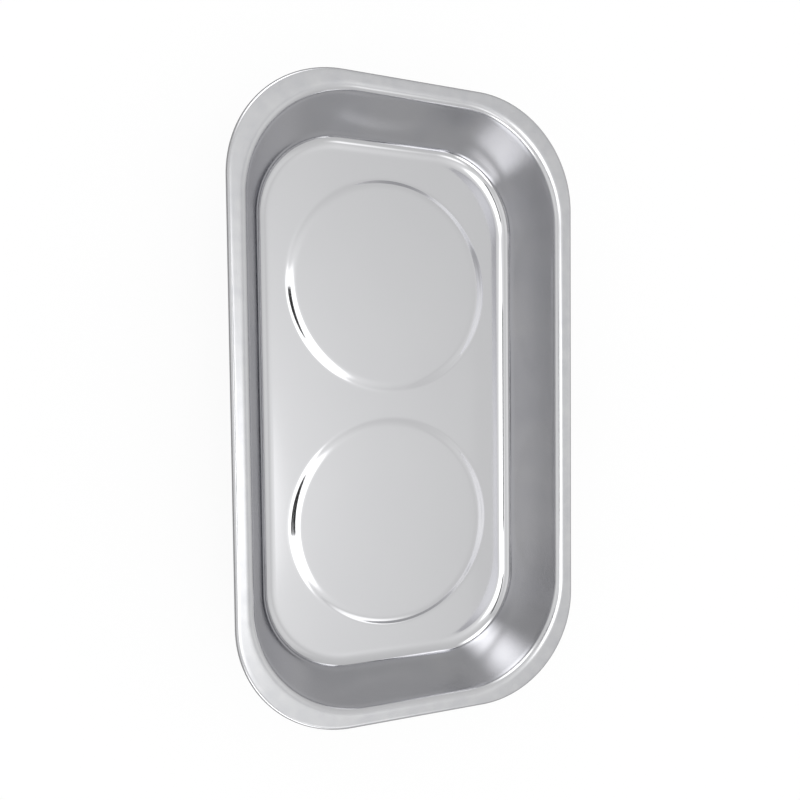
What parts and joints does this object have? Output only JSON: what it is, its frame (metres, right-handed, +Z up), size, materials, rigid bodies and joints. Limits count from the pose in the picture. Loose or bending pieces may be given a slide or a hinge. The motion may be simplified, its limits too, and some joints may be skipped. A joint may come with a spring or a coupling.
{
  "type": "magnetic parts tray",
  "caption": "Rectangular stainless steel parts tray with round raised seats, each over a rubber-booted ring magnet base that grips steel surfaces.",
  "frame": {"origin": "under the middle of the tray, on the surface that the two rubber feet stand on", "axes": "+Z up out of the tray, +Y along its length, +X across its width"},
  "size_m": [0.139, 0.24, 0.0423],
  "materials": {
    "stainless_sheet": "bright drawn stainless sheet, satin on rim and wall",
    "bond_foam": "pale closed-cell adhesive pad",
    "plated_steel": "zinc plated",
    "ferrite": "ground grey ferrite",
    "black_rubber": "moulded matte"
  },
  "bodies": {
    "root": {"tray_pan": "stainless_sheet", "front_bond_pad": "bond_foam", "rear_bond_pad": "bond_foam", "front_pole_plate": "plated_steel", "rear_pole_plate": "plated_steel", "front_ring_magnet": "ferrite", "rear_ring_magnet": "ferrite", "front_boot": "black_rubber", "rear_boot": "black_rubber"}
  },
  "joints": []
}
